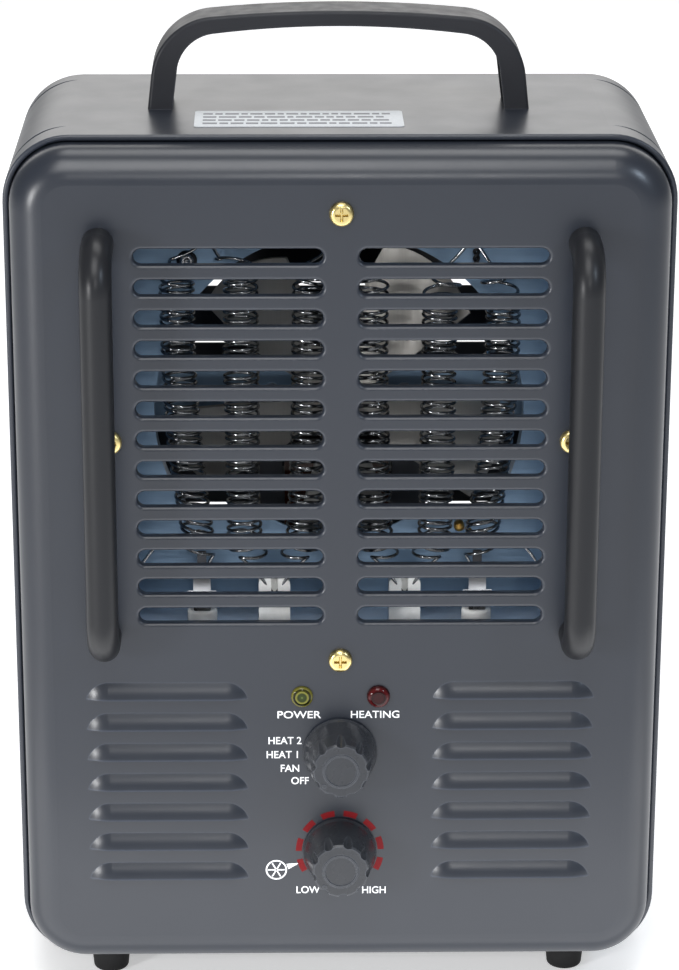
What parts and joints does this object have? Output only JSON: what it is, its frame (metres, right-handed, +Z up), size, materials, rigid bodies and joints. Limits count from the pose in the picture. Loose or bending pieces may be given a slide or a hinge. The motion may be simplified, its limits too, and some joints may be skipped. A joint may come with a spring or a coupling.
{
  "type": "utility fan heater",
  "caption": "Box-shaped utility fan heater with a top carry handle, slotted front grille behind guard bars, open coils on ceramic insulators, control knobs and louvres.",
  "frame": {"origin": "floor under the centre of the overall box", "axes": "+Z up, front grille and knobs face -Y, +X to the right seen from the front"},
  "size_m": [0.24, 0.1612, 0.3658],
  "materials": {
    "case_paint": "semi-gloss powder coat",
    "bar_paint": "semi-gloss powder coat",
    "moulding": "fine moulded texture",
    "knob_plastic": "satin moulded",
    "foot_rubber": "matt",
    "gland_plastic": "satin",
    "yellow_zinc": "yellow zinc plated",
    "zinc": "zinc plated",
    "aluminised": "aluminised sheet",
    "fan_metal": "mill finish",
    "plate_foil": "blank foil plate",
    "power_glaze": "tinted lens",
    "caution_glaze": "tinted lens",
    "lamp_glass": "clear",
    "switch_body": "moulded",
    "phenolic": "unglazed",
    "bimetal": "rolled strip",
    "nichrome": "oxidised resistance wire",
    "insulator": "unglazed steatite",
    "cutout_metal": "stamped",
    "bearing_bronze": "sintered",
    "lamination": "laminated steel",
    "enamel_wire": "enamelled copper winding",
    "shaft_steel": "ground",
    "pendulum_metal": "plated"
  },
  "bodies": {
    "heater_case": {"case_wrap": "case_paint", "front_panel": "case_paint", "left_guard_bar": "bar_paint", "right_guard_bar": "bar_paint", "guard_bar_nuts": "zinc", "panel_screws": "yellow_zinc", "rear_panel": "case_paint", "rear_screws": "zinc", "cord_gland": "gland_plastic", "carry_handle": "moulding", "handle_screws": "zinc", "rating_plate": "plate_foil", "front_left_foot": "foot_rubber", "front_right_foot": "foot_rubber", "rear_left_foot": "foot_rubber", "rear_right_foot": "foot_rubber", "foot_screws": "zinc", "power_lens": "power_glaze", "caution_lens": "caution_glaze", "power_lamp": "lamp_glass", "caution_lamp": "lamp_glass", "lens_clips": "zinc", "selector_switch": "switch_body", "selector_nut": "zinc", "thermostat_body": "phenolic", "thermostat_nut": "zinc", "bimetal_blade": "bimetal", "duct_left_side": "aluminised", "duct_right_side": "aluminised", "duct_top": "aluminised", "duct_floor": "aluminised", "fan_shroud": "aluminised", "heating_coils": "nichrome", "bottom_hook_insulators": "insulator", "top_hook_insulators": "insulator", "terminal_bushings": "insulator", "terminal_posts": "zinc", "thermal_cutout": "cutout_metal", "thermal_fuse": "phenolic", "motor_bracket": "aluminised", "front_bearing_bracket": "aluminised", "rear_bearing_bracket": "aluminised", "front_bearing": "bearing_bronze", "rear_bearing": "bearing_bronze", "stator_core": "lamination", "field_winding": "enamel_wire", "motor_bolts": "zinc", "tip_bracket": "aluminised", "tip_pin": "zinc", "tip_microswitch": "switch_body"},
    "selector": {"selector_knob": "knob_plastic", "selector_shaft": "shaft_steel"},
    "thermostat_dial": {"thermostat_knob": "knob_plastic", "thermostat_shaft": "shaft_steel"},
    "fan": {"fan_blades": "fan_metal", "fan_collar": "bearing_bronze", "rotor_core": "lamination", "motor_shaft": "shaft_steel"},
    "pendulum": {"tip_pendulum": "pendulum_metal"}
  },
  "joints": [
    {"name": "selector_turn", "type": "hinge", "parent": "heater_case", "child": "selector", "pos_m": [0, -0.05287, 0.1012], "axis": [0, 1, 0], "range_deg": [0, 60]},
    {"name": "thermostat_turn", "type": "hinge", "parent": "heater_case", "child": "thermostat_dial", "pos_m": [0, -0.05287, 0.0612], "axis": [0, 1, 0], "range_deg": [0, 270]},
    {"name": "fan_spin", "type": "hinge", "parent": "heater_case", "child": "fan", "pos_m": [0, -0.00287, 0.2224], "axis": [0, 1, 0], "continuous": true},
    {"name": "tip_pendulum_swing", "type": "hinge", "parent": "heater_case", "child": "pendulum", "pos_m": [0.066, 0.02013, 0.062], "axis": [0, 1, 0], "range_deg": [-22, 22]}
  ]
}
